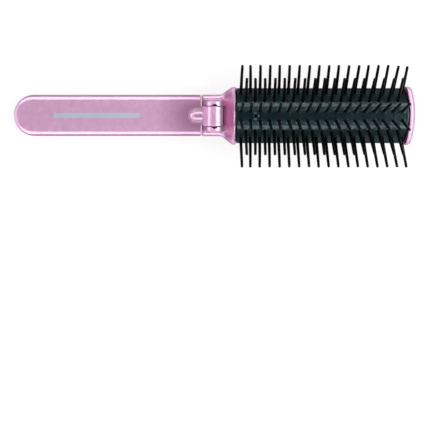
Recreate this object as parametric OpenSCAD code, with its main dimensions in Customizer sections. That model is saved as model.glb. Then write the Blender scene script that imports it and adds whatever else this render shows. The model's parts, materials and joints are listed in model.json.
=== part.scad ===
// Folding hairbrush with a mirror on its back.
// Millimetres. It lies unfolded on its back, bristles up along +Z, head tip towards +X.
// X is written from the hinge axis; placed() then centres the whole brush on the origin.

/* [Handle] */
// Hinge axis to the round end of the handle
handle_reach = 101.05; // [85:0.05:130]
// Handle width
handle_w = 20.6; // [18:0.1:24]
// Handle thickness, back to inner face
handle_t = 7.8; // [7:0.1:8.4]
// Height of the seam between the two handle shells
handle_seam_z = 3.2; // [2.8:0.1:4]
// Rounding of the handle's long edges, across
handle_round = 2.6; // [1.2:0.1:3]
// How far the handle's sides lean in from seam to shoulder
handle_draft = 0.7; // [0:0.05:0.9]
// Crown of the handle's inner face
handle_crown = 0.3; // [0.1:0.05:0.5]
// Wall of the handle shells
handle_wall = 1.7; // [1.2:0.1:2]
// Gap between the ends of handle and neck when unfolded
end_gap = 0.5; // [0.3:0.1:1]

/* [Hinge] */
// Height of the hinge axis above the back
pivot_z = 23; // [22.9:0.1:24]
// Radius of the trunnions on the link
trunnion_r = 1.6; // [1.2:0.05:2]
// Radial clearance of the trunnions in the ears
trunnion_clear = 0.06; // [0.02:0.01:0.1]
// Width of the link between the ears
link_w = 9.5; // [8:0.1:10]
// Side clearance between link and ear
link_clear = 0.15; // [0.1:0.05:0.3]
// Radius of the link's barrel about the axis
link_r = 4.2; // [3.6:0.1:4.4]
// Hinge axis to the link's face on the handle side
link_back = 5.7; // [5:0.1:5.7]
// Hinge axis to the link's end face
link_drop = 17.5; // [17:0.1:17.6]
// Rounding of the link's leading edge
link_fillet = 1.6; // [1.6:0.1:2.2]
// Length of the domed gusset behind the link
gusset_len = 7.3; // [5:0.1:9]
// Width of the domed gusset
gusset_w = 7.9; // [6:0.1:9]
// Height of the domed gusset
gusset_h = 3.2; // [2:0.1:4]
// Ear thickness
ear_t = 2.7; // [2.2:0.1:3.2]
// Radius of the ear's rounded top
ear_r = 4.1; // [3.6:0.1:4.4]
// Half the length of the ear at its root
ear_root = 5.95; // [5.5:0.05:6.1]
// Depth of the lead-in groove on the ear's inner face
lead_in = 1.2; // [0.6:0.1:1.6]

/* [Neck] */
// Hinge axis to the neck's end face
neck_back = 6.5; // [5.9:0.05:6.8]
// Neck width
neck_w = 20.8; // [18.4:0.1:22]
// Height of the neck's top beside the ears
neck_t = 5.7; // [5.5:0.1:6]
// Rounding of the neck's long edges, across
neck_round = 2.8; // [1:0.1:3]
// Gap under the link's rounded edge as it turns
floor_clear = 0.3; // [0.25:0.05:0.4]
// Hinge axis to the start of the flare
flare_start = 2.5; // [1.5:0.1:3.5]
// Hinge axis to the bristle side of the end wall
wall_x = 10.2; // [9.6:0.1:11.5]
// How deep the end wall's face is dished, seen from above
wall_dish = 2.4; // [0:0.1:2.8]

/* [Head] */
// Hinge axis to the tip of the head
head_reach = 100.25; // [90:0.05:130]
// Head width at its two end walls
head_w = 28.6; // [27.6:0.1:29]
// How far the long sides draw in behind the end walls
waist = 0.6; // [0:0.05:0.8]
// Height of the seam between back cover and frame
seam_z = 4.6; // [4.4:0.1:4.8]
// Width across the flat side panels
panel_w = 26.9; // [26.4:0.1:27.1]
// Height of the side panels' top
panel_z = 10.6; // [9.8:0.1:10.8]
// Height of the end walls
rim_z = 16.8; // [15.5:0.1:17.6]
// Plan radius of the head's tip
tip_r = 46; // [28:0.5:60]
// Plan radius of the tip's corners
tip_corner = 2.2; // [1.6:0.1:3]
// Thickness of the tip wall at its rim
rim_t = 2.2; // [1.6:0.1:2.6]
// Plan radius of the tip wall's inner face
tip_inner_r = 48; // [40:1:80]
// How far the tip wall leans out from rim to seam
tip_lean = 2.2; // [1:0.1:3]
// Wall of the frame and the back cover
wall = 1.7; // [1.4:0.1:1.8]
// Rounding of the back cover's edge, across
back_round = 2; // [1.4:0.1:2.2]

/* [Cushion and pins] */
// Height of the cushion's flat crest
crest_z = 17.3; // [17.2:0.05:17.5]
// Cushion thickness
cushion_t = 1.8; // [1.2:0.1:2]
// Spacing of the pins along a row
pitch = 4.66; // [4.2:0.02:5.4]
// End wall to the first pin of an outer row
first_pin = 2.8; // [2:0.1:4]
// Pin length above the cushion
pin_len = 21; // [15:0.1:21]
// Pin radius at the cushion
pin_r = 0.7; // [0.5:0.05:0.8]
// Pin radius at its rounded tip
pin_tip_r = 0.55; // [0.35:0.05:0.6]
// Distance of the outer rows from the centre line
outer_y = 11.2; // [10.9:0.1:11.4]
// Distance of the middle rows from the centre line
middle_y = 7.3; // [6.8:0.1:7.8]
// Distance of the inner rows from the centre line
inner_y = 2.5; // [2.3:0.1:2.9]
// Height of the cushion at the outer rows
outer_z = 12.9; // [12.7:0.1:13.2]
// Height of the cushion at the middle rows
middle_z = 15.6; // [15.4:0.1:15.8]
// Height of the cushion at the inner rows
inner_z = 17.1; // [17:0.05:17.15]
// Lean of the outer rows
outer_lean = 38.7; // [36:0.1:41]
// Lean of the middle rows
middle_lean = 31; // [28:0.1:32]
// Lean of the inner rows
inner_lean = 10.5; // [8:0.1:12]
// Radius of the cushion's vent hole
vent_r = 0.7; // [0.5:0.05:1]
// End wall to the vent hole
vent_x = 9.8; // [8:0.1:11]

/* [Mirror] */
// Mirror width
mirror_w = 21.6; // [18:0.1:21.8]
// Mirror thickness
mirror_t = 1.2; // [1:0.1:1.4]
// Hinge axis to the mirror's round end
mirror_start = 5.6; // [5.4:0.1:16]
// Cover left beyond the mirror at the tip
mirror_margin = 3.8; // [3.4:0.1:8]
// Thickness of the adhesive sheet
tape_t = 0.2; // [0.15:0.05:0.3]
// How far the mirror lies below the cover's rim
mirror_sink = 0.25; // [0.2:0.05:0.4]

/* [Detent] */
// Radius of the sprung detent pin
detent_r = 0.85; // [0.7:0.05:0.9]
// How far the pin stands out of the link
detent_out = 1.1; // [0.8:0.05:1.1]
// Travel of the pin
detent_travel = 1; // [0.7:0.05:1]
// Free turns of its spring
spring_turns = 6; // [4:1:9]
// Wire radius of its spring
spring_wire_r = 0.16; // [0.12:0.02:0.2]

/* [Hidden] */
$fn = 48;
eps = 0.01;

centre_x = (handle_reach - head_reach) / 2;
pearl = [0.78, 0.55, 0.71];
black = [0.08, 0.12, 0.12];

// hinge
link_half = link_w / 2;
ear_in = link_half + link_clear;
ear_out = ear_in + ear_t;
link_end_z = pivot_z - link_drop;
lead_corner = norm([link_r - link_fillet, link_drop - link_fillet]) + link_fillet;
floor_z = pivot_z - lead_corner - floor_clear;
well_clear = 0.4;
handle_end = -neck_back - end_gap;
end_block = 5;
link_bend = 3;
chin = 0.8;
handle_r = handle_w / 2;
handle_shoulder = 0.8;

// head
flare_end = wall_x - 1;
tip_inner = head_reach - rim_t - tip_lean;
head_half = head_w / 2;
neck_half = neck_w / 2;
panel_half = panel_w / 2;
waist_run = 3;
neck_drop = 0.9;
neck_end_round = 1.6;
neck_end_drop = 0.8;
wall_round = 1.7;
waist_end = tip_inner - 1;
cap_root = 6;
side_slit = 0.3;
tray_t = 1.4;
fit = 0.15;

// cushion
cushion_x0 = wall_x + fit;
cushion_x1 = tip_inner - fit;
cushion_half = panel_half - 0.05;
cushion_web = 1.2;
cushion_lip = 0.6;
tongue_t = 0.8;
tongue_drop = 2.4;
bead = 0.35;
pin_head_r = 1;
pin_head_t = 0.6;
pin_head_gap = 0.05;
pin_fit = 0.02;
row_count = 1 + floor((tip_inner - wall_x - 2 * first_pin) / pitch + eps);
vent_rim = 0.15;

// mirror
mirror_end = head_reach - mirror_margin;
mirror_half = mirror_w / 2;
mirror_corner = 4;
mirror_fit = 0.1;
pocket_z = mirror_sink + mirror_t + tape_t;
cover_web = 1.15;
cover_floor = pocket_z + cover_web;

// detent
bush_t = 1.4;
bush_wall = 0.7;
shoulder_t = 0.8;
shoulder_r = detent_r + 0.35;
bore_r = shoulder_r + 0.1;
spring_spare = 1.16;
spring_len = 2 * spring_wire_r * (spring_turns + 1) + detent_travel + spring_spare;
groove_r = link_drop + detent_out + 0.25;
shoulder_z = link_end_z + bush_t;
spring_z = shoulder_z + shoulder_t;

function smooth(t) = let (u = max(0, min(1, t))) u * u * (3 - 2 * u);
function mix(a, b, t) = a + (b - a) * t;

// A loft through rings. Each ring is its half with y > 0, and the other half mirrors it.
// The first ring is closed by a floor and the last by a lid, in strips from side to side.
function whole(half) =
    concat(half, [for (i = [len(half) - 1:-1:0]) [half[i].x, -half[i].y, half[i].z]]);

module loft(halves) {
    n = 2 * len(halves[0]);
    last = (len(halves) - 1) * n;
    sides = [for (k = [0:len(halves) - 2]) for (i = [0:n - 1])
        let (a = k * n + i, b = k * n + (i + 1) % n) each [[a, b, b + n], [a, b + n, a + n]]];
    floor_strips = [for (i = [0:n / 2 - 2])
        each [[i, n - 1 - i, n - 2 - i], [i, n - 2 - i, i + 1]]];
    lid_strips = [for (f = floor_strips) [last + f[0], last + f[2], last + f[1]]];
    polyhedron([for (h = halves) each whole(h)], concat(sides, floor_strips, lid_strips));
}

// 2D profile in (y, z), drawn out along X
module along_x(x0, x1) {
    translate([x0, 0, 0]) rotate([90, 0, 90]) linear_extrude(x1 - x0) children();
}

// 2D profile in (x, z), drawn out along Y
module along_y(y0, y1) {
    translate([0, y1, 0]) rotate([90, 0, 0]) linear_extrude(y1 - y0) children();
}

module both_sides() {
    children();
    mirror([0, 1, 0]) children();
}

module placed() {
    translate([centre_x, 0, 0]) children();
}

// ---- plan outlines ----

// half width of the head and neck at x
function plan_half(x) =
    x < flare_end
    ? mix(neck_half, head_half, smooth((x - flare_start) / (flare_end - flare_start)))
    : head_half - waist * (smooth((x - flare_end) / waist_run)
                           - smooth(1 + (x - waist_end) / waist_run));

// tip outline from the corner to the centre line, pulled in by d
function tip_points(d, reach, half, rc) =
    let (cx = reach - tip_r,
         kx = cx + sqrt(pow(tip_r - rc, 2) - pow(half - rc, 2)),
         ky = half - rc,
         swing = atan2(ky, kx - cx))
    concat([for (i = [0:5]) let (a = mix(90, swing + 12, i / 5))
               [kx + (rc - d) * cos(a), ky + (rc - d) * sin(a)]],
           [for (i = [0:7]) let (a = swing * (1 - i / 7.5))
               [cx + (tip_r - d) * cos(a), (tip_r - d) * sin(a)]]);

head_stations = concat([-neck_back, 0], [for (i = [0:10]) mix(flare_start, flare_end, i / 10)],
                       [for (i = [1:4]) flare_end + waist_run * i / 4],
                       [for (i = [0:4]) waist_end - waist_run * (1 - i / 4)]);

// half outline of the whole head pulled in by d, its flat neck end at x0
function head_outline(d, x0, z) =
    let (side = [for (x = head_stations) [x, plan_half(x)]],
         slope = [for (p = side) (plan_half(p.x + 0.05) - plan_half(p.x - 0.05)) / 0.1])
    [for (i = [0:len(side) - 1]) let (s = slope[i], g = d / sqrt(1 + s * s))
         [i == 0 ? x0 : side[i].x + s * g, side[i].y - g, z],
     for (p = tip_points(d, head_reach, head_half, tip_corner)) [p.x, p.y, z]];

// half outline of the handle pulled in by d, its flat end at x1
function handle_outline(d, x1, z) =
    let (cx = handle_r - handle_reach, r = handle_r - d)
    [for (i = [0:15]) let (a = 180 - 90 * (i + 0.5) / 15.5) [cx + r * cos(a), r * sin(a), z],
     for (t = [0.25, 0.5, 0.75, 1]) [mix(cx, x1, t), r, z]];

// ---- head ----

module head_frame() {
    color(pearl) placed() difference() {
        union() {
            neck_and_end_wall();
            both_sides() ear();
            intersection() {
                union() {
                    both_sides() side_wall();
                    tray();
                }
                inside_tip(side_slit);
            }
            neck_block();
        }
        link_well();
        ear_cuts();
        detent_groove();
    }
}

// what lies within the tip wall's curved inner face, gap short of it
module inside_tip(gap) {
    translate([tip_inner - tip_inner_r, 0, 0]) cylinder(r = tip_inner_r - gap, h = 2 * rim_z, $fn = 240);
}

// height of the end wall's face towards the hinge, which sweeps up from the neck
function sweep_point(t) =
    let (a = [3.6, neck_t], b = [6.2, neck_t + 0.2], c = [5.9, rim_z - 3.4], d = [flare_end, rim_z])
    pow(1 - t, 3) * a + 3 * t * pow(1 - t, 2) * b + 3 * t * t * (1 - t) * c + t * t * t * d;

// Half section at x, its shoulder rx across and rz high. The dish moves its middle along X.
function wall_section(x, top, rx, rz, dish) =
    let (w = plan_half(x))
    [[x, w, seam_z], [x, w, mix(seam_z, top - rz, 0.5)],
     for (a = [0:15:90]) [x, w - rx + rx * cos(a), top - rz + rz * sin(a)],
     for (f = [0.8, 0.55, 0.3, 0.1]) [x + dish * (1 - f * f), f * (w - rx), top + 0.06 * (1 - f * f)]];

function sweep_section(t) =
    let (p = sweep_point(t), rise = (p.y - neck_t) / (rim_z - neck_t), u = smooth(2 * rise),
         r = wall_round * (1.25 - 0.25 * rise))
    wall_section(p.x, p.y, mix(neck_round, r, u), mix(neck_drop, r, u), wall_dish * sin(180 * t));

// A loft along X. Its rings stand across the neck, so the floor and lid strips run from side to side.
module neck_and_end_wall() {
    loft([
        wall_section(wall_x, rim_z, wall_round, wall_round, 0),
        for (i = [16:-1:0]) sweep_section(i / 16),
        wall_section(flare_start, neck_t, neck_round, neck_drop, 0),
        for (a = [0:22.5:90]) let (drop = neck_end_drop * (1 - cos(a)))
            wall_section(-neck_back + neck_end_round * (1 - sin(a)), neck_t - drop, neck_round,
                         neck_drop - drop, 0)
    ]);
}

module ear_side(inset) {
    hull() {
        translate([0, pivot_z]) circle(ear_r - inset, $fn = 40);
        translate([-ear_root + inset, neck_t - 0.6]) square([2, 1]);
        translate([ear_root - inset - 3, neck_t + 3.4]) circle(3, $fn = 32);
        translate([ear_root - inset - 3, neck_t - 0.6]) square([2.9, 1]);
    }
}

module ear() {
    edge = 0.6;
    hull() {
        along_y(ear_in, ear_out - edge) ear_side(0);
        along_y(ear_in, ear_out) ear_side(edge);
    }
}

module side_wall() {
    along_x(wall_x - 0.5, tip_inner - side_slit) difference() {
        translate([panel_half - wall, seam_z]) square([wall, panel_z - seam_z]);
        translate([panel_half - wall - eps, panel_z - tongue_drop - fit])
            square([bead + fit, 2 * bead + 2 * fit]);
    }
}

module tray() {
    translate([wall_x - 0.5, -panel_half + 0.5, seam_z])
        cube([tip_inner - side_slit - wall_x + 0.5, panel_w - 1, tray_t]);
}

// solid core that fills the cover's neck
module neck_block() {
    inner = neck_half - wall - fit;
    bottom = cover_floor + 0.1;
    translate([-neck_back + wall + fit, -inner, bottom])
        cube([neck_back - wall - fit + flare_start, 2 * inner, seam_z - bottom + eps]);
}

module link_well() {
    open = 1;
    bevel = 0.35;
    translate([-neck_back - open, -ear_in, floor_z])
        cube([neck_back + open + link_r + well_clear, 2 * ear_in, 2 * open]);
    along_y(-ear_in, ear_in) polygon([
        [-neck_back - open, floor_z + open], [-neck_back - open, floor_z - open - bevel],
        [-neck_back + bevel, floor_z], [-neck_back + bevel, floor_z + open]]);
}

module ear_cuts() {
    translate([0, 0, pivot_z]) rotate([90, 0, 0])
        cylinder(r = trunnion_r + trunnion_clear, h = 2 * ear_out + 2, center = true);
    both_sides() translate([0, 0, pivot_z]) linear_extrude(ear_r + 1)
        polygon([[-trunnion_r - 0.3, ear_in - 1], [trunnion_r + 0.3, ear_in - 1],
                 [trunnion_r + 0.3, ear_in], [0, ear_in + lead_in], [-trunnion_r - 0.3, ear_in]]);
}

// the detent pin runs in an arc about the hinge, and drops into a round seat
module detent_groove() {
    half = detent_r + 0.2;
    intersection() {
        translate([0, 0, pivot_z]) rotate([90, 0, 0])
            cylinder(r = groove_r, h = 2 * half, center = true, $fn = 160);
        translate([-neck_back - 1, -half, 0]) cube([neck_back + 1, 2 * half, floor_z + 0.5]);
    }
    translate([0, 0, pivot_z - groove_r]) cylinder(r = half, h = 3);
}

module back_cover() {
    rise = 2.8;
    color(pearl) placed() difference() {
        loft([
            for (a = [0:18:90]) head_outline(back_round * (1 - sin(a)), -neck_back, rise * (1 - cos(a))),
            head_outline(0, -neck_back, seam_z - eps),
            head_outline(wall, -neck_back + wall, seam_z - eps),
            head_outline(wall, -neck_back + wall, cover_floor)
        ]);
        translate([0, 0, -eps]) linear_extrude(pocket_z + eps) mirror_shape(mirror_fit);
    }
}

// round end towards the neck, shallow arc with round corners at the tip
module mirror_shape(grow) {
    cx = mirror_start + mirror_half;
    half = concat([for (i = [0:23]) let (a = 180 - 90 * (i + 0.5) / 23.5)
                      [cx + (mirror_half + grow) * cos(a), (mirror_half + grow) * sin(a)]],
                  tip_points(-grow, mirror_end, mirror_half, mirror_corner));
    polygon([for (p = whole([for (q = half) [q.x, q.y, 0]])) [p.x, p.y]]);
}

module mirror_plate() {
    color([0.86, 0.89, 0.91]) placed() translate([0, 0, mirror_sink])
        linear_extrude(mirror_t) mirror_shape(0);
}

module mirror_tape() {
    color([0.2, 0.2, 0.2]) placed() translate([0, 0, mirror_sink + mirror_t])
        linear_extrude(tape_t) mirror_shape(-1.5);
}

// tip wall, bulging at the seam and drawn in at its rim
module end_cap() {
    function section(u) =
        let (z = mix(seam_z, rim_z, u),
             reach = head_reach - tip_lean * pow(u, 1.4) - 0.9 * pow(max(0, u - 0.86) / 0.14, 2),
             half = head_half - 1.3 * pow(max(0, u - 0.8) / 0.2, 2))
        [[tip_inner - cap_root, half, z],
         for (p = tip_points(0, reach, half, tip_corner)) [p.x, p.y, z]];
    color(pearl) placed() difference() {
        loft([for (u = [0, 0.25, 0.5, 0.7, 0.8, 0.86, 0.91, 0.96, 1]) section(u)]);
        inside_tip(0);
    }
}

// ---- cushion and pins ----

// The cushion's section has a flat face square to each row of pins. A face is
// [y, z, lean] at its row, and crease() is where two of them meet, d below the surface.
faces = [[inner_y, inner_z, inner_lean], [middle_y, middle_z, middle_lean], [outer_y, outer_z, outer_lean]];

function face_line(f, d) = [sin(f[2]), cos(f[2]), f[0] * sin(f[2]) + f[1] * cos(f[2]) - d];
function crease(f, g, d) =
    let (m = face_line(f, d), n = face_line(g, d), det = m[0] * n[1] - m[1] * n[0])
    [(m[2] * n[1] - n[2] * m[1]) / det, (m[0] * n[2] - n[0] * m[2]) / det];
function face_y(f, d, z) = let (n = face_line(f, d)) (n[2] - n[1] * z) / n[0];
function face_z(f, d, y) = let (n = face_line(f, d)) (n[2] - n[0] * y) / n[1];
function section_points(d) =
    [[face_y(faces[0], d, crest_z - d), crest_z - d],
     crease(faces[0], faces[1], d), crease(faces[1], faces[2], d)];

module mirrored_polygon(half) {
    polygon(concat(half, [for (i = [len(half) - 1:-1:0]) [-half[i].x, half[i].y]]));
}

module cushion_profile() {
    difference() {
        mirrored_polygon(concat(section_points(0),
            [[cushion_half, face_z(faces[2], 0, cushion_half)], [cushion_half, panel_z]]));
        mirrored_polygon(concat(section_points(cushion_t),
            [[face_y(faces[2], cushion_t, panel_z - 1), panel_z - 1]]));
    }
    for (s = [-1, 1]) scale([s, 1]) translate([panel_half - wall - 0.1 - tongue_t, panel_z - tongue_drop]) {
        square([tongue_t, tongue_drop + 0.6]);
        square([tongue_t + bead, 2 * bead]);
    }
}

// what closes the cushion's ends
module cushion_web_profile() {
    mirrored_polygon(concat(section_points(cushion_t / 2),
        [[face_y(faces[2], cushion_t / 2, panel_z), panel_z]]));
}

module bristle_cushion() {
    color(black) placed() difference() {
        union() {
            intersection() {
                along_x(cushion_x0 + cushion_lip, cushion_x1) cushion_profile();
                inside_tip(fit + cushion_lip);
            }
            along_x(cushion_x0, cushion_x0 + cushion_web) cushion_web_profile();
            difference() {
                intersection() {
                    along_x(cushion_x1 - cap_root, cushion_x1) cushion_web_profile();
                    inside_tip(fit);
                }
                inside_tip(fit + cushion_web);
            }
            translate([wall_x + vent_x, 0, crest_z - cushion_t / 3])
                cylinder(r = 2.1 * vent_r, h = cushion_t / 3 + vent_rim);
        }
        translate([wall_x + vent_x, 0, crest_z - 2 * cushion_t]) cylinder(r = vent_r, h = 4 * cushion_t);
        for (row = pin_rows) for (x = row_stations(row)) at_pin(row, x)
            translate([0, 0, -cushion_t - 1]) cylinder(r = pin_r + pin_fit, h = cushion_t + 2);
    }
}

// each row: side, its face, offset in pitches
pin_rows = [[1, faces[2], 0], [1, faces[1], 0.5], [1, faces[0], 0],
            [-1, faces[0], 0], [-1, faces[1], 0.5], [-1, faces[2], 0]];

function row_stations(row) =
    [for (i = [0:row_count - (row[2] > 0 ? 2 : 1)]) wall_x + first_pin + (i + row[2]) * pitch];

module at_pin(row, x) {
    translate([x, row[0] * row[1][0], row[1][1]]) rotate([-row[0] * row[1][2], 0, 0]) children();
}

// tapered pin with a ball tip, held by the flat head under the cushion
module pin() {
    under = cushion_t + pin_head_gap;
    cylinder(r1 = pin_r, r2 = pin_tip_r, h = pin_len - pin_tip_r);
    translate([0, 0, pin_len - pin_tip_r]) sphere(pin_tip_r);
    translate([0, 0, -under - eps]) cylinder(r = pin_r, h = under + eps);
    translate([0, 0, -under - pin_head_t]) cylinder(r = pin_head_r, h = pin_head_t);
}

module pin_row(k) {
    color(black) placed() for (x = row_stations(pin_rows[k])) at_pin(pin_rows[k], x) pin();
}

// ---- handle ----

// height of the crowned inner face, d in from the handle's edge
function handle_top(d) =
    handle_t - handle_crown * pow(1 - max(0, d - handle_round) / (handle_r - handle_round), 2);

// the shoulder from the inner face (t = 0) down to the leaning side (t = 1), as [in from the edge, height]
function shoulder_point(t) =
    let (w = handle_round, d = handle_draft, h = handle_shoulder)
    pow(1 - t, 3) * [w, 0] + 3 * t * pow(1 - t, 2) * [mix(d, w, 0.68), 0]
    + 3 * t * t * (1 - t) * [mix(d, w, 0.05), -0.2 * h] + t * t * t * [d, -h];

module handle_inner_shell() {
    top = handle_top(handle_round);
    block = handle_end - end_block;
    ceiling = handle_t - handle_crown - handle_wall;
    color(pearl) placed() {
        difference() {
            union() {
                loft([
                    handle_outline(handle_wall + 0.8, block, ceiling),
                    handle_outline(handle_wall, block, ceiling - 1),
                    handle_outline(handle_wall, block, handle_seam_z),
                    handle_outline(0, handle_end, handle_seam_z),
                    for (i = [0:7]) let (p = shoulder_point(1 - i / 7))
                        handle_outline(p.x, handle_end, top + p.y),
                    for (f = [0.27, 0.58, 0.87]) let (d = mix(handle_round, handle_r, f))
                        handle_outline(d, handle_end, handle_top(d))
                ]);
                link();
                gusset();
            }
            translate([0, 0, link_end_z - eps]) cylinder(r = bore_r + bush_wall, h = bush_t + eps);
            translate([0, 0, link_end_z]) cylinder(r = bore_r, h = bush_t + shoulder_t + spring_len);
        }
        both_sides() trunnion();
    }
}

module link() {
    along_y(-link_half, link_half) union() {
        hull() {
            translate([0, pivot_z]) circle(link_r, $fn = 64);
            translate([-link_back + link_bend, pivot_z - 2]) circle(link_bend, $fn = 48);
            translate([-link_back, handle_t]) square([1, 1]);
            translate([link_r - link_fillet, link_end_z + link_fillet]) circle(link_fillet, $fn = 48);
            translate([-link_back, link_end_z]) square([1, 1]);
        }
        translate([handle_end - 2, link_end_z]) square([link_back, handle_t - link_end_z - handle_crown]);
        polygon([[handle_end - 0.5, link_end_z - chin - eps], [handle_end, link_end_z - chin],
                 [handle_end + chin, link_end_z + eps], [handle_end - 0.5, link_end_z + eps]]);
    }
}

// half-domed rib on the inner face, running into the link
module gusset() {
    half = gusset_w / 2;
    flat = gusset_len - half;
    base = handle_t - handle_crown;
    intersection() {
        hull() {
            for (x = [-link_back + 0.5, -link_back - flat]) translate([x, 0, base])
                scale([1, 1, (gusset_h + handle_crown) / half]) sphere(half, $fn = 40);
        }
        translate([-link_back - gusset_len - 1, -half - 1, base - 1])
            cube([gusset_len + 1.4, gusset_w + 2, gusset_h + 3]);
    }
}

module trunnion() {
    translate([0, link_half - 0.5, pivot_z]) rotate([-90, 0, 0]) difference() {
        cylinder(r = trunnion_r, h = ear_t + link_clear + 0.1);
        translate([0, 0, ear_t + 0.2]) rotate([-28, 0, 0])
            translate(trunnion_r * [-2, -3, 0]) cube(trunnion_r * [4, 5, 2]);
    }
}

module handle_outer_shell() {
    rise = 2.2;
    color(pearl) placed() loft([
        for (a = [0:15:90]) handle_outline(handle_round * (1 - sin(a)), handle_end, rise * (1 - cos(a))),
        handle_outline(0, handle_end, handle_seam_z - eps),
        handle_outline(handle_wall, handle_end - handle_wall, handle_seam_z - eps),
        handle_outline(handle_wall + 0.6, handle_end - handle_wall, handle_wall)
    ]);
}

// ---- detent in the link's end ----

module detent_pin() {
    tip_z = link_end_z - detent_out;
    color([0.75, 0.76, 0.78]) placed() {
        translate([0, 0, tip_z + detent_r]) sphere(detent_r);
        translate([0, 0, tip_z + detent_r]) cylinder(r = detent_r, h = shoulder_z - tip_z - detent_r + eps);
        translate([0, 0, shoulder_z]) cylinder(r = shoulder_r, h = shoulder_t);
    }
}

module detent_bush() {
    color([0.78, 0.68, 0.4]) placed() translate([0, 0, link_end_z]) difference() {
        cylinder(r = bore_r + bush_wall - 0.02, h = bush_t - 0.02);
        translate([0, 0, -1]) cylinder(r = detent_r + 0.05, h = bush_t + 2);
    }
}

// closed-end coil, its wire swept along a helix
module detent_spring() {
    turns = spring_turns + 1;
    steps = 12 * turns;
    sides = 6;
    mean_r = shoulder_r - spring_wire_r - 0.05;
    z0 = spring_z + spring_wire_r + 0.02;
    rise = spring_len - 2 * spring_wire_r - 0.04;
    points = [for (i = [0:steps]) let (a = 30 * i) for (j = [0:sides - 1])
        let (b = 360 * j / sides, r = mean_r + spring_wire_r * cos(b))
        [r * cos(a), r * sin(a), z0 + rise * i / steps + spring_wire_r * sin(b)]];
    skin = [for (i = [0:steps - 1]) for (j = [0:sides - 1])
        let (p = i * sides + j, q = i * sides + (j + 1) % sides)
        each [[p, q, q + sides], [p, q + sides, p + sides]]];
    ends = [[for (j = [sides - 1:-1:0]) j], [for (j = [0:sides - 1]) steps * sides + j]];
    color([0.7, 0.7, 0.72]) placed() polyhedron(points, concat(skin, ends));
}

head_frame();
back_cover();
end_cap();
mirror_plate();  // mirror
mirror_tape();
bristle_cushion();
pin_row(0);  // pins_left_outer
pin_row(1);  // pins_left_middle
pin_row(2);  // pins_left_inner
pin_row(3);  // pins_right_inner
pin_row(4);  // pins_right_middle
pin_row(5);  // pins_right_outer
handle_inner_shell();
handle_outer_shell();
detent_pin();
detent_spring();
detent_bush();
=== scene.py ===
import json
import math
import random

import bmesh
import bpy
import numpy as np
from mathutils import Matrix, Vector


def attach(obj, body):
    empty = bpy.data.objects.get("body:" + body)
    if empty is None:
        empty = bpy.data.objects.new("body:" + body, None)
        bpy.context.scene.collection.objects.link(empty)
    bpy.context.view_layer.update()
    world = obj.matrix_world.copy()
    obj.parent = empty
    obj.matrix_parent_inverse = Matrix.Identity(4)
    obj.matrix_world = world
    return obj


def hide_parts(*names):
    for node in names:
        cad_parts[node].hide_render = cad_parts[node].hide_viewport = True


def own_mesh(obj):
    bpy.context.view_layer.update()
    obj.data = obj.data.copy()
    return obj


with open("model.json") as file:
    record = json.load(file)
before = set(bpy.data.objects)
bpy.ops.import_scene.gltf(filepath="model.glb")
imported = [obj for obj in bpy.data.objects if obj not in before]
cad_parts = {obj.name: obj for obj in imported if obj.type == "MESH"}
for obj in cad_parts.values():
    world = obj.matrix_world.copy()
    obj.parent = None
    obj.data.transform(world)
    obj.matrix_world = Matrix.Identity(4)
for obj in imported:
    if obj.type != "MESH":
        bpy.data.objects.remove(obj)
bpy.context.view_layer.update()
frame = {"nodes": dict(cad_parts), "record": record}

# A folding hairbrush, in metres: X runs from the handle to the head, Y across, Z the way the pins point.

NODES = frame["nodes"]
SLOT_OF = {part["node"]: part["material_slot"] for part in frame["record"]["subparts"]}
BODY_OF = {n: body for body, names in frame["record"]["behaviour"]["bodies"].items() for n in names}
SCENE = bpy.context.scene

# ---- camera -------------------------------------------------------------------------------

CAMERA_PLACE = Vector((0.0016, 0.010, 0.505))
CAMERA_AIM = Vector((0.0006, -0.0499, 0.008))
CAMERA_LENS = 83.05
CAMERA_SENSOR = 36
CAMERA_CLIP = (0.05, 20)

camera_data = bpy.data.cameras.new("camera")
camera_data.lens = CAMERA_LENS
camera_data.sensor_width = CAMERA_SENSOR
camera_data.clip_start, camera_data.clip_end = CAMERA_CLIP
camera = bpy.data.objects.new("camera", camera_data)
camera.location = CAMERA_PLACE
back = (CAMERA_PLACE - CAMERA_AIM).normalized()
right = Vector((0, 1, 0)).cross(back).normalized()
camera.rotation_euler = Matrix((right, back.cross(right), back)).transposed().to_euler()
SCENE.collection.objects.link(camera)
SCENE.camera = camera
SCENE.view_settings.view_transform = "Standard"


# ---- node helpers -------------------------------------------------------------------------

MIX_INPUTS = (0, 6, 7)             # the Mix node's sockets for colours: share, A and B
MIX_OUTPUT = 2


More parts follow.
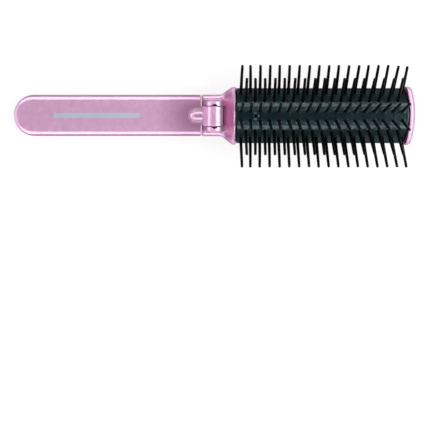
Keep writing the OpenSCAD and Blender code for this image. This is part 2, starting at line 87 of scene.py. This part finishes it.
class Shader:
    """A material's node tree with short calls for the nodes used here."""

    def __init__(self, name):
        self.material = bpy.data.materials.new(name)
        self.material.use_nodes = True
        self.tree = self.material.node_tree
        self.nodes = self.tree.nodes
        self.bsdf = self.nodes["Principled BSDF"]
        self.output = self.nodes["Material Output"]
        self.place = self.add("ShaderNodeTexCoord").outputs["Object"]

    def add(self, kind, **fields):
        node = self.nodes.new(kind)
        for key, value in fields.items():
            setattr(node, key, value)
        return node

    def link(self, source, target):
        self.tree.links.new(source, target)

    def feed(self, socket, value):
        """Links a node's output to the socket, or sets a number or a colour."""
        if hasattr(value, "is_linked"):
            self.link(value, socket)
        else:
            socket.default_value = (*value, 1) if isinstance(value, tuple) else value

    def set(self, **values):
        for key, value in values.items():
            self.feed(self.bsdf.inputs[key.replace("_", " ")], value)

    def math(self, operation, *operands, clamp=False):
        node = self.add("ShaderNodeMath", operation=operation, use_clamp=clamp)
        for socket, value in zip(node.inputs, operands):
            self.feed(socket, value)
        return node.outputs[0]

    def noise(self, scale, detail, roughness, stretch=None):
        """Noise from 0 to 1 with scale waves to the metre."""
        node = self.add("ShaderNodeTexNoise")
        node.inputs["Scale"].default_value = scale
        node.inputs["Detail"].default_value = detail
        node.inputs["Roughness"].default_value = roughness
        self.link(self.stretched(stretch), node.inputs["Vector"])
        return node.outputs["Fac"]

    def stretched(self, stretch):
        if stretch is None:
            return self.place
        node = self.add("ShaderNodeMapping")
        node.inputs["Scale"].default_value = stretch
        self.link(self.place, node.inputs["Vector"])
        return node.outputs["Vector"]

    def cells(self, scale):
        """Irregular cells, scale of them to the metre."""
        node = self.add("ShaderNodeTexVoronoi")
        node.inputs["Scale"].default_value = scale
        self.link(self.place, node.inputs["Vector"])
        return node

    def ramp(self, value, stops):
        node = self.add("ShaderNodeValToRGB")
        set_stops(node.color_ramp, stops)
        self.link(value, node.inputs["Fac"])
        return node.outputs["Color"]

    def span(self, value, low, high):
        """Takes a value from 0 to 1 to one from low to high."""
        node = self.add("ShaderNodeMapRange")
        node.inputs["To Min"].default_value = low
        node.inputs["To Max"].default_value = high
        self.link(value, node.inputs["Value"])
        return node.outputs["Result"]

    def mix(self, share, a, b, blend="MIX"):
        node = self.add("ShaderNodeMix", data_type="RGBA", blend_type=blend)
        for at, value in zip(MIX_INPUTS, (share, a, b)):
            self.feed(node.inputs[at], value)
        return node.outputs[MIX_OUTPUT]

    def bump(self, height, strength, distance):
        node = self.add("ShaderNodeBump")
        node.inputs["Strength"].default_value = strength
        node.inputs["Distance"].default_value = distance
        self.link(height, node.inputs["Height"])
        self.link(node.outputs["Normal"], self.bsdf.inputs["Normal"])

    def under(self, share, **values):
        """Mixes in a second lobe with the same bump."""
        top = self.bsdf
        self.bsdf = self.add("ShaderNodeBsdfPrincipled")
        self.set(**values)
        self.link(top.inputs["Normal"].links[0].from_socket, self.bsdf.inputs["Normal"])
        both = self.mixed(share, top.outputs[0], self.bsdf.outputs[0])
        self.link(both, self.output.inputs["Surface"])

    def mixed(self, share, first, second):
        """A mix of two shaders."""
        node = self.add("ShaderNodeMixShader")
        for socket, value in zip(node.inputs, (share, first, second)):
            self.feed(socket, value)
        return node.outputs[0]


def set_stops(ramp, stops):
    while len(ramp.elements) < len(stops):
        ramp.elements.new(0.5)
    for element, (at, colour) in zip(ramp.elements, stops):
        element.position = at
        element.color = (*colour, 1)


def srgb(r, g, b):
    return tuple((c / 255 / 12.92) if c <= 10.3 else ((c / 255 + 0.055) / 1.055) ** 2.4 for c in (r, g, b))


# ---- pearl plastic ------------------------------------------------------------------------

PEARL_LIGHT = srgb(227, 180, 215)
PEARL_MID = srgb(222, 173, 209)
PEARL_DEEP = srgb(217, 167, 204)
# painted shade on the handle towards the hinge
HINGE_PAINTED_SHADE = srgb(178, 120, 162)
SHELL_EDGE = srgb(54, 4, 34)
CAP_EDGE = srgb(220, 130, 180)
# painted shade in the tray and along the panels' edges
TRAY_PAINTED_SHADE = srgb(6, 8, 8)
# painted light at the end wall's foot
WALL_FOOT_PAINTED_LIGHT = srgb(253, 186, 226)
PRINT_SILVER = srgb(187, 202, 218)
# painted shade in the trunnions' ends and the ears' holes
PIVOT_SHADE = srgb(118, 34, 74)
WHITE = (1.0, 1.0, 1.0)

PEARL_METALLIC = 0.86
PEARL_IOR = 1.45
FOOT_METALLIC = 0.15               # at the foot of the end wall
BROAD_SHARE = 0.72                 # of the flakes' broad lobe, under the surface's tight one
TIGHT_ROUGHNESS = (0.22, 0.28)
BROAD_ROUGHNESS = (0.52, 0.56)
GLOSS_WHITE = 0.30                 # how far the tight lobe goes from the pearl's colour to white
CLOUD_SCALE = 420
FLAKE_SCALE = 3800
SPECK_SCALE = 1700
SPECK_DEPTH = (0.95, 1.05)

# boxes on the part for painted shade, painted light and the print: centre, half size, width of the falling
# edge
HINGE_SHADE_BOX = ((-0.0500, 0, 0.0040), (0.0440, 0.0120, 0.0040), 0.0002)
BAR_BOX = ((-0.0584, 0.0001, 0.0078), (0.0216, 0.0013, 0.0004), 0.00006)
TRAY_SHADE_BOX = ((0.0560, 0, 0.0085), (0.0400, 0.0110, 0.0062), 0.0004)
PANEL_EDGE_SHADE_BOX = ((0.0565, 0, 0.0112), (0.0420, 0.0140, 0.0009), 0.0003)
WALL_FOOT_LIGHT_BOX = ((0.0080, 0, 0.0110), (0.0032, 0.0100, 0.0062), 0.0020)

HINGE_SHADE_SPOT = (-0.0085, 0, 0.0075)  # the handle's painted shade is deepest here
HINGE_SHADE_REACH = 0.021                # and fades back to the pearl's own colour this far off
BAR_WEAR = (0.72, 1.0)             # how far the print covers the pearl
BAR_ROUGHER = 0.12

PIVOT_X, PIVOT_Z = 0.0004, 0.0230  # the hinge's axis
EAR_MIDDLE = 0.0062                # the ears' holes run from 5.0 to 7.4 mm off the centre plane
EAR_HALF = 0.0012
TRUNNION_HALF = 0.0018
HOLE_HALF = 0.00175
PIVOT_FADE = 0.0001


def box_mask(s, centre, half, edge):
    """1 inside a box on the part, falling to 0 over its edge."""
    axes = s.add("ShaderNodeSeparateXYZ")
    s.link(s.place, axes.inputs[0])
    mask = 1.0
    for axis in range(3):
        off = s.math("ABSOLUTE", s.math("SUBTRACT", axes.outputs[axis], centre[axis]))
        inside = s.math("DIVIDE", s.math("SUBTRACT", half[axis], off), edge, clamp=True)
        mask = s.math("MULTIPLY", inside, mask)
    return mask


def pivot_mask(s, half):
    """The trunnions and their holes, inside the two ears."""
    ears = [box_mask(s, (PIVOT_X, side * EAR_MIDDLE, PIVOT_Z), (half, EAR_HALF, half), PIVOT_FADE)
            for side in (1, -1)]
    return s.math("MAXIMUM", *ears)


def pearl(name, edge, painted_and_printed=None):
    """Moulded plastic with fine metallic flake: a broad lobe from the flakes under a tight one."""
    s = Shader(name)
    cloud = s.noise(CLOUD_SCALE, 2, 0.5)
    flake = s.cells(FLAKE_SCALE)
    tint = s.ramp(cloud, [(0.3, PEARL_DEEP), (0.5, PEARL_MID), (0.72, PEARL_LIGHT)])
    colour = s.mix(1.0, tint, s.span(s.noise(SPECK_SCALE, 3, 0.65), *SPECK_DEPTH), "MULTIPLY")
    tight = s.span(flake.outputs["Color"], *TIGHT_ROUGHNESS)
    broad = s.span(flake.outputs["Color"], *BROAD_ROUGHNESS)
    metallic = PEARL_METALLIC
    # print, painted shade and painted light, where a part has them
    if painted_and_printed:
        colour, tight, metallic = painted_and_printed(s, colour, tight, metallic)
    both = {"Metallic": metallic, "Specular_Tint": edge, "IOR": PEARL_IOR}
    s.set(Base_Color=s.mix(GLOSS_WHITE, colour, WHITE), Roughness=tight, **both)
    s.bump(flake.outputs["Distance"], strength=0.03, distance=0.00002)
    s.under(BROAD_SHARE, Base_Color=colour, Roughness=broad, **both)
    return s.material


def handle_print_and_painted_shade(s, colour, roughness, metallic):
    """The plain satin bar printed on the handle, and painted shade: a deeper tone towards the hinge and in
    the trunnions' ends.
    """
    # painted shade, deepening the handle's tone towards the hinge
    gap = s.add("ShaderNodeVectorMath", operation="DISTANCE")
    s.link(s.place, gap.inputs[0])
    gap.inputs[1].default_value = HINGE_SHADE_SPOT
    hinge_shade = s.math("SUBTRACT", 1.0, s.math("DIVIDE", gap.outputs["Value"], HINGE_SHADE_REACH), clamp=True)
    hinge_shade = s.math("MULTIPLY", hinge_shade, box_mask(s, *HINGE_SHADE_BOX))
    colour = s.mix(hinge_shade, colour, HINGE_PAINTED_SHADE)
    # painted shade in the trunnions' ends
    colour = s.mix(pivot_mask(s, TRUNNION_HALF), colour, PIVOT_SHADE)
    bar = box_mask(s, *BAR_BOX)
    worn = s.math("MULTIPLY", bar, s.span(s.noise(2200, 3, 0.6), *BAR_WEAR))
    roughness = s.math("ADD", roughness, s.math("MULTIPLY", bar, BAR_ROUGHER))
    return s.mix(worn, colour, PRINT_SILVER), roughness, metallic


def head_painted_shade_and_light(s, colour, roughness, metallic):
    """Painted shade, black, in the tray and along the panels' edges; painted light, a brighter magenta pink
    with less metal, at the end wall's foot; and painted shade, deeper pink, in the ears' holes."""
    # painted light: a brighter magenta pink, with less metal, at the end wall's foot
    foot_light = box_mask(s, *WALL_FOOT_LIGHT_BOX)
    colour = s.mix(foot_light, colour, WALL_FOOT_PAINTED_LIGHT)
    # painted shade in the ears' holes
    colour = s.mix(pivot_mask(s, HOLE_HALF), colour, PIVOT_SHADE)
    # painted shade: black in the tray and along the panels' edges
    painted_shade = s.math("MAXIMUM", box_mask(s, *TRAY_SHADE_BOX), box_mask(s, *PANEL_EDGE_SHADE_BOX))
    return s.mix(painted_shade, colour, TRAY_PAINTED_SHADE), roughness, s.span(foot_light, metallic, FOOT_METALLIC)


# ---- other materials ----------------------------------------------------------------------

RUBBER_TINT = (0.66, 0.92, 1.0)
PIN_STREAKS = (1, 1, 0.2)          # noise drawn out along Z
WIRE_STREAKS = (1, 1, 0.15)


def black_rubber():
    s = Shader("black_rubber")
    s.set(Base_Color=s.ramp(s.noise(260, 3, 0.55), [(0.3, srgb(5, 23, 25)), (0.7, srgb(8, 29, 31))]),
          Roughness=s.span(s.noise(180, 3, 0.55), 0.14, 0.38), IOR=1.63, Specular_Tint=RUBBER_TINT)
    s.bump(s.noise(2600, 2, 0.5), strength=0.08, distance=0.00004)
    return s.material


def black_nylon():
    s = Shader("black_nylon")
    s.set(Base_Color=s.ramp(s.noise(420, 2, 0.5), [(0.3, srgb(1, 2, 2)), (0.7, srgb(3, 4, 4))]),
          Roughness=s.span(s.noise(900, 2, 0.5, PIN_STREAKS), 0.42, 0.55), IOR=1.4, Specular_IOR_Level=0.2)
    s.bump(s.noise(3000, 2, 0.5), strength=0.08, distance=0.00003)
    return s.material


def mirror_silver():
    s = Shader("mirror_glass")
    haze = s.noise(120, 4, 0.6)
    s.set(Base_Color=s.ramp(haze, [(0.35, srgb(236, 240, 242)), (0.7, srgb(246, 248, 249))]), Metallic=1.0,
          Roughness=s.span(haze, 0.015, 0.05))
    return s.material


def tape():
    s = Shader("adhesive_tape")
    s.set(Base_Color=s.ramp(s.noise(900, 3, 0.6), [(0.3, srgb(40, 40, 42)), (0.7, srgb(58, 58, 60))]),
          Roughness=0.8)
    s.bump(s.noise(2400, 2, 0.6), strength=0.2, distance=0.00005)
    return s.material


def spring_steel():
    s = Shader("spring_steel")
    drawn = s.noise(1500, 3, 0.6, WIRE_STREAKS)
    s.set(Base_Color=s.ramp(drawn, [(0.3, srgb(150, 152, 156)), (0.7, srgb(205, 207, 210))]), Metallic=1.0,
          Roughness=s.span(drawn, 0.22, 0.42))
    s.bump(drawn, strength=0.1, distance=0.00002)
    return s.material


MATERIALS = {
    "pearl_shell": pearl("pearl_shell", SHELL_EDGE),
    "pearl_small": pearl("pearl_small", CAP_EDGE),
    "mirror_glass": mirror_silver(),
    "adhesive_tape": tape(),
    "black_rubber": black_rubber(),
    "black_nylon": black_nylon(),
    "spring_steel": spring_steel(),
}
HANDLE_PEARL_PRINT_AND_SHADE = pearl("pearl_printed_painted_shade", SHELL_EDGE, handle_print_and_painted_shade)
HEAD_PEARL_PAINTED_LIGHT = pearl("pearl_head_painted_light", SHELL_EDGE, head_painted_shade_and_light)


def dress(obj, material):
    obj.data.materials.clear()
    obj.data.materials.append(material)
    for face in obj.data.polygons:
        face.material_index = 0


# ---- making pieces ------------------------------------------------------------------------

WELD = 0.000002          # vertices of a CAD mesh closer than this are one
SMOOTHING = 0.5          # strength of one smoothing pass


def new_piece(name, mesh, node):
    """A piece that rides with its CAD node's body."""
    obj = bpy.data.objects.new(name, mesh)
    SCENE.collection.objects.link(obj)
    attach(obj, BODY_OF[node])
    return obj


def apply_modifiers(obj):
    """Bakes the object's modifiers into a new mesh."""
    graph = bpy.context.evaluated_depsgraph_get()
    mesh = bpy.data.meshes.new_from_object(obj.evaluated_get(graph))
    obj.modifiers.clear()
    old, obj.data = obj.data, mesh
    bpy.data.meshes.remove(old)


def add_smoothing(obj, passes):
    smooth = obj.modifiers.new("smooth", "SMOOTH")
    smooth.factor = SMOOTHING
    smooth.iterations = passes


def welded(mesh):
    soup = bmesh.new()
    soup.from_mesh(mesh)
    bmesh.ops.remove_doubles(soup, verts=soup.verts, dist=WELD)
    return soup


def refined(node, voxel, passes, keep=1.0, material=None):
    """A moulded copy of a CAD node: remeshed finely, its edges softened, standing for the node."""
    mesh = NODES[node].data.copy()
    soup = welded(mesh)
    soup.to_mesh(mesh)
    soup.free()
    obj = new_piece(node + "_moulding", mesh, node)
    remesh = obj.modifiers.new("remesh", "REMESH")
    remesh.mode = "VOXEL"
    remesh.voxel_size = voxel
    add_smoothing(obj, passes)
    if keep < 1:
        thin = obj.modifiers.new("thin", "DECIMATE")
        thin.ratio = keep
    apply_modifiers(obj)
    obj.data.shade_smooth()
    dress(obj, material or MATERIALS[SLOT_OF[node]])
    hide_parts(node)
    return obj


def sprung(node):
    """A copy of a coil spring, standing for its node."""
    obj = new_piece(node + "_coil", NODES[node].data.copy(), node)
    dress(obj, MATERIALS[SLOT_OF[node]])
    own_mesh(obj)
    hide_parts(node)


def vertex_places(obj):
    place = np.empty(len(obj.data.vertices) * 3, np.float32)
    obj.data.vertices.foreach_get("co", place)
    return place.reshape(-1, 3).astype(float)


def place_vertices(obj, place):
    obj.data.vertices.foreach_set("co", place.astype(np.float32).ravel())
    obj.data.update()


# ---- handle and head ----------------------------------------------------------------------

# a flat cut along an edge: the height and the distance in from the edge where it starts, the distance where
# the steeper side takes over, and that side's slope
FLAT_SLOPE = math.tan(math.radians(19))
HANDLE_FLAT = (0.00752, 0.00240, 0.00095, math.tan(math.radians(72)))
NECK_FLAT = (0.00563, 0.00175, 0.00085, math.tan(math.radians(36)))
FLAT_PASSES = 2

# the handle's outline: half width, centre of its round end, and where it stops at the hinge
HANDLE_HALF, HANDLE_CENTRE_X, HANDLE_END = 0.0103, -0.09035, -0.0064

# the neck's outline: half width, end towards the handle, radius of its corners
NECK_HALF, NECK_LEFT, NECK_CORNER = 0.0104, -0.0065, 0.0024
# where the flat ends along X, over how long it dies away, and the heights it stays between
NECK_END, NECK_FADE, NECK_SEAM, NECK_TOP = 0.0036, 0.0008, 0.00465, 0.0060

# the hollow behind the neck: its middle and half length along X, how far off the centre plane it starts,
# over how much more it grows, and its depth
FLARE_MIDDLE, FLARE_HALF = 0.0078, 0.0032
FLARE_INNER, FLARE_RISE = 0.0080, 0.0024
FLARE_DEPTH = 0.00038


def flatten_edge(obj, edge, held, flat):
    """Cuts an edge back to a narrow flat over a steeper side. edge is each vertex's distance in from the
    outline, and held its share of the cut."""
    top, inner, outer, side = flat
    place = vertex_places(obj)
    limit = top - FLAT_SLOPE * (inner - edge) - (side - FLAT_SLOPE) * np.clip(outer - edge, 0, None)
    place[:, 2] -= np.clip(place[:, 2] - limit, 0, None) * held * (edge < inner)
    place_vertices(obj, place)
    add_smoothing(obj, FLAT_PASSES)
    apply_modifiers(obj)


def flatten_handle(obj):
    x, y, _ = vertex_places(obj).T
    edge = HANDLE_HALF - np.hypot(np.minimum(x - HANDLE_CENTRE_X, 0), y)
    flatten_edge(obj, edge, x < HANDLE_END, HANDLE_FLAT)


def flatten_neck(obj):
    x, y, z = vertex_places(obj).T
    along, across = x - NECK_LEFT, NECK_HALF - np.abs(y)
    corner = NECK_CORNER - np.hypot(np.clip(NECK_CORNER - along, 0, None),
                                    np.clip(NECK_CORNER - across, 0, None))
    in_corner = (along < NECK_CORNER) & (across < NECK_CORNER)
    edge = np.where(in_corner, corner, np.minimum(along, across))
    held = np.clip((NECK_END - x) / NECK_FADE, 0, 1) * (z > NECK_SEAM) * (z < NECK_TOP)
    flatten_edge(obj, edge, held, NECK_FLAT)


def draw_in_flare(obj):
    """The head widens behind the neck in a slightly hollow curve."""
    place = vertex_places(obj)
    along = np.clip(1 - np.abs(place[:, 0] - FLARE_MIDDLE) / FLARE_HALF, 0, 1)
    out = np.clip((np.abs(place[:, 1]) - FLARE_INNER) / FLARE_RISE, 0, 1)
    place[:, 1] -= np.sign(place[:, 1]) * FLARE_DEPTH * np.sin(along * math.pi / 2) ** 2 * out
    place_vertices(obj, place)


# ---- pins ---------------------------------------------------------------------------------

PIN_SIDES = 14
PIN_POINT = 0.00001      # radius at which an end is closed
PIN_HEAD = 0.0006        # thickness of the flat head
# (distance from the foot, radius) round the head
HEAD_PROFILE = [(0, PIN_POINT), (0, 0.00092), (0.0001, 0.001),
                (PIN_HEAD - 0.0001, 0.001), (PIN_HEAD, 0.0009)]
PIN_SEAT = 0.00245       # from the foot to where the shank leaves the cushion
PIN_ROOT = 0.00081       # radius at the cushion
PIN_TIP = 0.00067        # radius at the end of the taper
PIN_SWELL = 0.00003      # how much wider the tip's ball is than the taper's end
PIN_SHORT = 0.00006      # drawn this much shorter than the solid
TAPER_STEPS = (0.1, 0.35, 0.6, 0.85, 1)
TIP_ANGLES = (-45, -15, 15, 40, 65, 80)
TIP_LENGTH = 2.2         # from the taper's end to the end of the pin, in radii of the ball
BEND_POWER = 1.3         # a pin leans more and more towards its tip
FOOT_VERTICES = 6        # a solid's lowest vertices, averaged to tell its foot from its tip

# how far the tips of a row stand off along X, at its first and last pin
TIP_DRIFT = {"pins_left_outer": (-0.0005, -0.0003), "pins_left_middle": (-0.0007, -0.0003),
             "pins_left_inner": (-0.0003, -0.0003), "pins_right_inner": (-0.0003, -0.0003),
             "pins_right_middle": (-0.0007, 0.0003), "pins_right_outer": (-0.0005, 0.0002)}
FIRST_DRIFT, LAST_DRIFT = 0.0007, -0.0004      # more for the first and the last pin
SCATTER = 0.0001
LEAN_IN = 0.00007              # towards the centre plane
DROOPING_ROW = "pins_left_outer"
DROOP = (0.0006, 0.00025)      # more, for that row's last pin and the one before it


def islands(mesh):
    """Vertex coordinates of each loose part, in metres."""
    soup = welded(mesh)
    found, seen = [], set()
    for start in soup.verts:
        if start in seen:
            continue
        stack, part = [start], []
        seen.add(start)
        while stack:
            vert = stack.pop()
            part.append(vert.co[:])
            for edge in vert.link_edges:
                other = edge.other_vert(vert)
                if other not in seen:
                    seen.add(other)
                    stack.append(other)
        found.append(np.array(part))
    soup.free()
    return found


def pin_axes(node):
    """(foot, direction, length) of each of a row's solids, in order along X."""
    axes = []
    for part in islands(NODES[node].data):
        order = part[np.argsort(part[:, 2])]
        low, high = order[:FOOT_VERTICES].mean(0), order[-1]
        centre = part.mean(0)
        direction = np.linalg.svd(part - centre)[2][0]
        direction *= np.sign(direction @ (high - low))
        run = (part - centre) @ direction
        foot_light = centre + direction * run.min()
        wide = part[run < run.min() + PIN_HEAD].mean(0)
        foot_light += (wide - foot_light) - direction * ((wide - foot_light) @ direction)
        axes.append((foot_light, direction, run.max() - run.min()))
    return sorted(axes, key=lambda axis: axis[0][0])


def pin_profile(length):
    """(distance from the foot, radius) up a pin: head, shank, taper and slightly swollen tip."""
    points = HEAD_PROFILE + [(PIN_HEAD, PIN_ROOT), (PIN_SEAT, PIN_ROOT)]
    tip = PIN_TIP + PIN_SWELL
    neck = length - TIP_LENGTH * tip
    points += [(PIN_SEAT + (neck - PIN_SEAT) * t, PIN_ROOT + (PIN_TIP - PIN_ROOT) * t) for t in TAPER_STEPS]
    for angle in TIP_ANGLES:
        a = math.radians(angle)
        points.append((length - tip + tip * math.sin(a), tip * math.cos(a)))
    return points + [(length, PIN_POINT)]


def pin_lean(node, k, last, inward, sway):
    """How far the tip of the row's pin k stands off its solid's axis."""
    first_drift, last_drift = TIP_DRIFT[node]
    x = first_drift + (last_drift - first_drift) * k / last + sway.gauss(0, SCATTER)
    y = inward * (LEAN_IN + abs(sway.gauss(0, SCATTER)))
    x += FIRST_DRIFT * (k == 0) + LAST_DRIFT * (k == last)
    if node == DROOPING_ROW:
        y -= DROOP[0] * (k == last) + DROOP[1] * (k == last - 1)
    return np.array([x, y, 0])


def make_pins(node, axes):
    """New pins on the old axes, each a hair off true as moulded pins stand."""
    shape = bmesh.new()
    sway = random.Random(node)
    turns = [2 * math.pi * i / PIN_SIDES for i in range(PIN_SIDES)]
    for k, (foot_light, direction, length) in enumerate(axes):
        lean = pin_lean(node, k, len(axes) - 1, -np.sign(foot_light[1]), sway)
        side = np.cross(direction, [1, 0, 0])
        side /= np.linalg.norm(side)
        up = np.cross(side, direction)
        rings = []
        for s, r in pin_profile(length - PIN_SHORT):
            bend = max(0.0, (s - PIN_SEAT) / (length - PIN_SEAT)) ** BEND_POWER
            middle = foot_light + direction * s + lean * bend
            rings.append([shape.verts.new(middle + r * (math.cos(a) * side + math.sin(a) * up))
                          for a in turns])
        for low, high in zip(rings, rings[1:]):
            for i in range(PIN_SIDES):
                j = (i + 1) % PIN_SIDES
                shape.faces.new((low[i], low[j], high[j], high[i]))
        shape.faces.new(rings[0][::-1])
        shape.faces.new(rings[-1])
    bmesh.ops.recalc_face_normals(shape, faces=shape.faces)
    mesh = bpy.data.meshes.new(node)
    shape.to_mesh(mesh)
    shape.free()
    mesh.shade_smooth()
    obj = new_piece(node + "_moulded", mesh, node)
    dress(obj, MATERIALS[SLOT_OF[node]])
    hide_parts(node)


# ---- cushion ------------------------------------------------------------------------------

# the rounding over each crease: distance from the centre line, half width, radius
CREASES = [(0.00142, 0.0010, 0.0109), (0.00583, 0.0018, 0.0097), (0.00942, 0.0010, 0.0149)]

# the lip over a panel's edge: beyond this Y, above this Z, by how much
LIP_Y, LIP_Z, LIP = 0.0129, 0.0104, 0.00018

# the swelling round a pin: its height, the radius of its crest, and how far it spreads
COLLAR, COLLAR_R, COLLAR_SPREAD = 0.00013, 0.0007, 0.00045
# how far from the seat it reaches along the pin, and how far it looks for vertices along each axis
COLLAR_HALF, COLLAR_REACH = 0.0009, 0.0022


def round_creases(obj):
    """The cushion bends smoothly from one row's face to the next, and laps the panels' edges."""
    place = vertex_places(obj)
    for at, half, radius in CREASES:
        off = np.abs(np.abs(place[:, 1]) - at)
        place[:, 2] -= np.clip(half - off, 0, None) ** 2 / (2 * radius)
    lip = (np.abs(place[:, 1]) > LIP_Y) & (place[:, 2] > LIP_Z)
    place[lip, 1] += np.sign(place[lip, 1]) * LIP
    place_vertices(obj, place)


def raise_collars(obj, axes):
    """The rubber swells a little where a pin comes through it."""
    place = vertex_places(obj)
    shift = np.zeros_like(place)
    for foot_light, direction, _ in axes:
        seat = foot_light + direction * PIN_SEAT
        hinge_shade = np.where(np.abs(place - seat).max(1) < COLLAR_REACH)[0]
        off = place[hinge_shade] - seat
        along = off @ direction
        radius = np.linalg.norm(off - along[:, None] * direction, axis=1)
        swell = COLLAR * np.exp(-((radius - COLLAR_R) / COLLAR_SPREAD) ** 2) * (np.abs(along) < COLLAR_HALF)
        shift[hinge_shade] += swell[:, None] * direction
    place_vertices(obj, place + shift)


# ---- the brush ----------------------------------------------------------------------------

for node_name, node_object in NODES.items():
    dress(node_object, MATERIALS[SLOT_OF[node_name]])

head = refined("head_frame", voxel=0.00018, passes=8, material=HEAD_PEARL_PAINTED_LIGHT)
flatten_neck(head)
draw_in_flare(head)
draw_in_flare(refined("back_cover", voxel=0.00022, passes=8, keep=0.4))
refined("end_cap", voxel=0.00016, passes=8, keep=0.5)
flatten_handle(refined("handle_inner_shell", voxel=0.00018, passes=8, material=HANDLE_PEARL_PRINT_AND_SHADE))
refined("handle_outer_shell", voxel=0.00022, passes=8, keep=0.4)
sprung("detent_spring")
cushion = refined("bristle_cushion", voxel=0.0002, passes=6)
round_creases(cushion)
pins = {node: pin_axes(node) for node in NODES if node.startswith("pins_")}
raise_collars(cushion, [axis for axes in pins.values() for axis in axes])
for node_name, axes in pins.items():
    make_pins(node_name, axes)


# ---- floor, sky and lamps -----------------------------------------------------------------

FLOOR_HALF = 4.0
FLOOR_DROP = 0.0002      # the floor lies this far under the brush
FLOOR_SEEN = (0.96, 0.96, 0.96)
FLOOR_BOUNCE = (0.30, 0.30, 0.30)
# the floor's share of glow under the object and far out, where no lamp reaches: (distance, share)
GLOW_NEAR, GLOW_FAR = (0.25, 0.75), (0.9, 1.0)

# (Z of the direction, level of the sky): white at the horizon, dark overhead
SKY_STOPS = [(0.0, 1.0), (0.12, 1.0), (0.2, 0.1), (0.6, 0.1), (0.85, 0.09), (1.0, 0.09)]

# soft strips round the object: degrees round from +X, degrees off the vertical, length, width, radiance
STRIP_DISTANCE = 0.6
STRIPS = {"strip_back": (90, 37, 1.2, 0.16, 4.3), "strip_front": (-90, 38, 1.2, 0.16, 4.5),
          "strip_right": (0, 45, 0.40, 0.32, 6.4), "strip_left": (180, 50, 0.40, 0.20, 0.9),
          "strip_low": (180, 74, 0.40, 0.20, 3.0)}


def seen_ray(s):
    """1 for what the camera sees, directly or in metal and glass."""
    path = s.add("ShaderNodeLightPath")
    total = s.math("ADD", path.outputs["Is Camera Ray"], path.outputs["Is Glossy Ray"])
    return s.math("ADD", total, path.outputs["Is Transmission Ray"], clamp=True)


def make_floor():
    """A white floor that keeps the shadow, throws little light on the object, and is clear from below."""
    h = FLOOR_HALF
    mesh = bpy.data.meshes.new("floor")
    mesh.from_pydata([(-h, -h, 0), (h, -h, 0), (h, h, 0), (-h, h, 0)], [], [(0, 1, 2, 3)])
    floor = bpy.data.objects.new("floor", mesh)
    floor.location = (0, 0, -FLOOR_DROP)
    SCENE.collection.objects.link(floor)
    s = Shader("floor_white")
    s.set(Base_Color=s.mix(seen_ray(s), FLOOR_BOUNCE, FLOOR_SEEN), Roughness=0.9, Specular_IOR_Level=0.0)
    glow = s.add("ShaderNodeEmission")
    glow.inputs["Strength"].default_value = 1.0
    reach = s.add("ShaderNodeVectorMath", operation="LENGTH")
    s.link(s.place, reach.inputs[0])
    share = s.span(reach.outputs["Value"], GLOW_NEAR[1], GLOW_FAR[1])
    share.node.inputs["From Min"].default_value = GLOW_NEAR[0]
    share.node.inputs["From Max"].default_value = GLOW_FAR[0]
    lit = s.mixed(s.math("MULTIPLY", seen_ray(s), share), s.bsdf.outputs[0], glow.outputs[0])
    under = s.add("ShaderNodeNewGeometry").outputs["Backfacing"]
    clear = s.add("ShaderNodeBsdfTransparent").outputs[0]
    s.link(s.mixed(under, lit, clear), s.output.inputs["Surface"])
    dress(floor, s.material)


def make_sky():
    world = bpy.data.worlds.new("studio")
    SCENE.world = world
    world.use_nodes = True
    tree = world.node_tree
    coords = tree.nodes.new("ShaderNodeTexCoord")
    axes = tree.nodes.new("ShaderNodeSeparateXYZ")
    tree.links.new(coords.outputs["Generated"], axes.inputs[0])
    ramp = tree.nodes.new("ShaderNodeValToRGB")
    set_stops(ramp.color_ramp, [(at, (level, level, level)) for at, level in SKY_STOPS])
    tree.links.new(axes.outputs["Z"], ramp.inputs["Fac"])
    background = tree.nodes["Background"]
    tree.links.new(ramp.outputs["Color"], background.inputs["Color"])
    background.inputs["Strength"].default_value = 1.0


def strip_light(name, turn, lean, length, width, radiance):
    """A soft strip that faces the object."""
    a, b = math.radians(turn), math.radians(lean)
    place = Vector((math.cos(a) * math.sin(b), math.sin(a) * math.sin(b), math.cos(b))) * STRIP_DISTANCE
    data = bpy.data.lights.new(name, "AREA")
    data.shape = "RECTANGLE"
    data.size, data.size_y = length, width
    data.energy = radiance * math.pi * length * width
    light = bpy.data.objects.new(name, data)
    light.location = place
    light.rotation_euler = (-place).to_track_quat("-Z", "Y").to_euler()
    SCENE.collection.objects.link(light)


make_floor()
make_sky()
for strip_name, strip in STRIPS.items():
    strip_light(strip_name, *strip)
